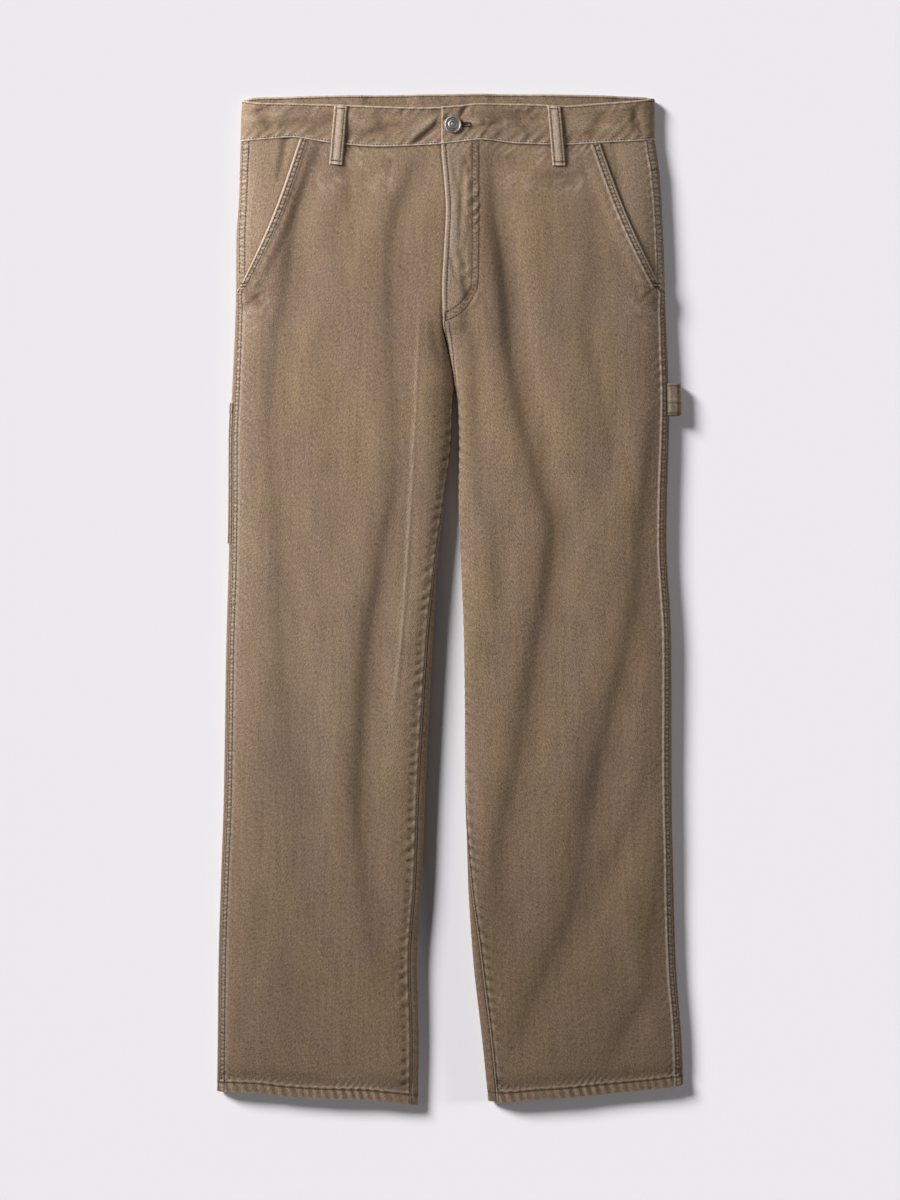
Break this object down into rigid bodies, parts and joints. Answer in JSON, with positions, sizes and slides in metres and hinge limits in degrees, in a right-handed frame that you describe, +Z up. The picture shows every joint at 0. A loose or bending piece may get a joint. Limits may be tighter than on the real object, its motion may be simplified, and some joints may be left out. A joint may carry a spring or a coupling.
{
  "type": "wide-leg carpenter jeans",
  "caption": "Washed denim work jeans with wide straight legs, lying flat on their back with the front up, fastened at the waist by a shank button.",
  "frame": {"origin": "on the surface that the garment lies on, below the middle of the laid-out garment's bounding box", "axes": "+Y along the garment from the hems towards the waist, +X towards the wearer's left leg, +Z up off the surface, out of the garment's front"},
  "size_m": [0.5027, 1.0898, 0.0227],
  "materials": {
    "denim_front": "washed matte twill",
    "denim_back": "washed matte twill",
    "denim_band": "washed matte twill",
    "denim_loop": "washed matte twill, worn pale along its edges",
    "aged_metal": "antiqued satin"
  },
  "bodies": {
    "root": {"front_panel_right": "denim_front", "front_panel_left": "denim_front", "pocket_facing_right": "denim_front", "pocket_facing_left": "denim_front", "back_panel_right": "denim_back", "back_panel_left": "denim_back", "back_yoke_right": "denim_back", "back_yoke_left": "denim_back", "back_pocket_right": "denim_back", "back_pocket_left": "denim_back", "tool_pocket": "denim_back", "waistband": "denim_band", "belt_loop_front_right": "denim_loop", "belt_loop_front_left": "denim_loop", "belt_loop_back": "denim_loop", "belt_loop_side_right": "denim_loop", "belt_loop_side_left": "denim_loop", "hammer_loop": "denim_loop", "button": "aged_metal"}
  },
  "joints": []
}
